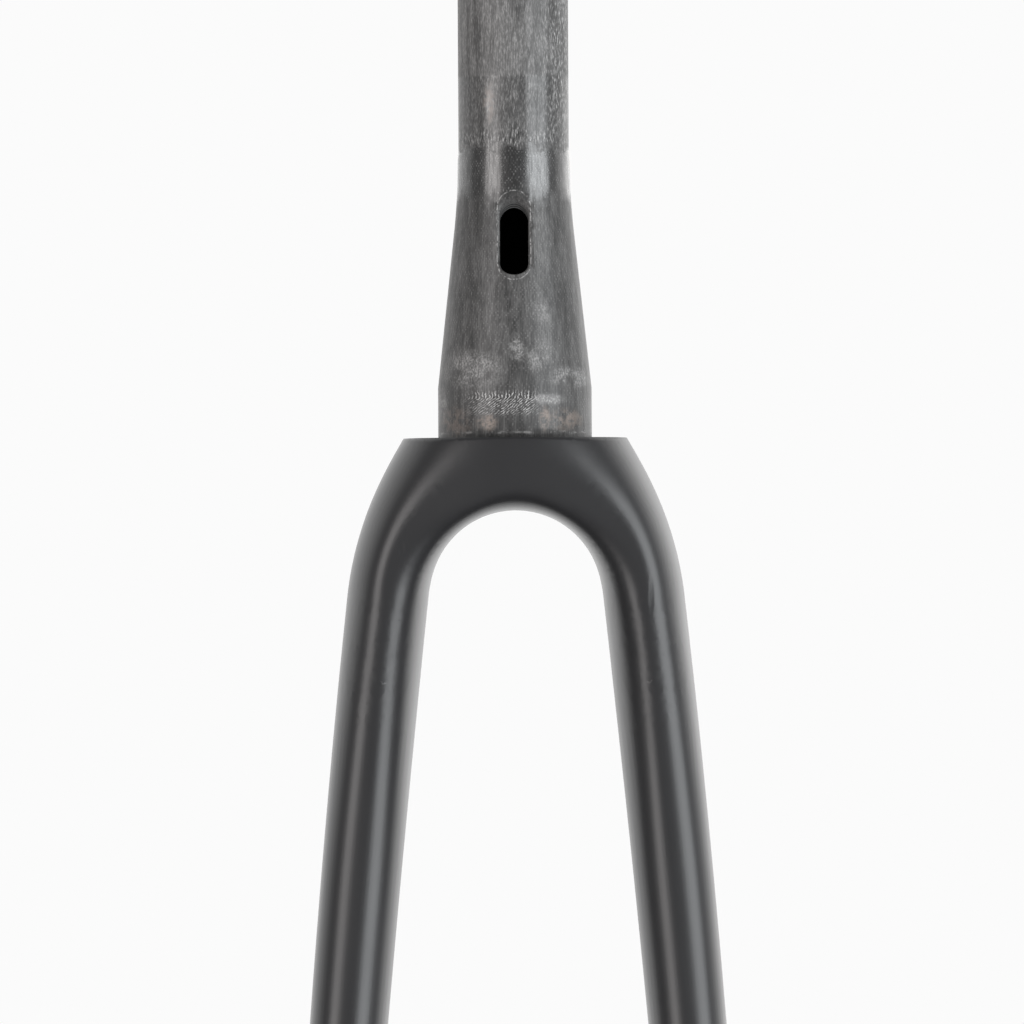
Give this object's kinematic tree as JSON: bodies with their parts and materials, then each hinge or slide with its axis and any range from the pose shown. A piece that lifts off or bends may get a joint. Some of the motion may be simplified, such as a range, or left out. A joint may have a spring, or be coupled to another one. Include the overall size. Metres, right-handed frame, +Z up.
{
  "type": "rigid bicycle fork",
  "caption": "Rigid carbon disc-brake bicycle fork with a tapered, slotted steerer, an arched crown and slim raked legs.",
  "frame": {"origin": "on the steerer axis, in the flat top of the crown that the crown race sits on", "axes": "+Z up the steerer, -Y to the front of the bicycle, +X to the rider's left, the brake side"},
  "size_m": [0.126, 0.0893, 0.6988],
  "materials": {
    "carbon_moulding": "satin black paint on the crown and legs, bare sanded carbon laminate on the steerer",
    "axle_metal": "turned",
    "insert_metal": "plain"
  },
  "bodies": {
    "root": {"fork_body": "carbon_moulding", "axle_sleeve": "axle_metal", "axle_nut": "axle_metal", "brake_inserts": "insert_metal"}
  },
  "joints": []
}
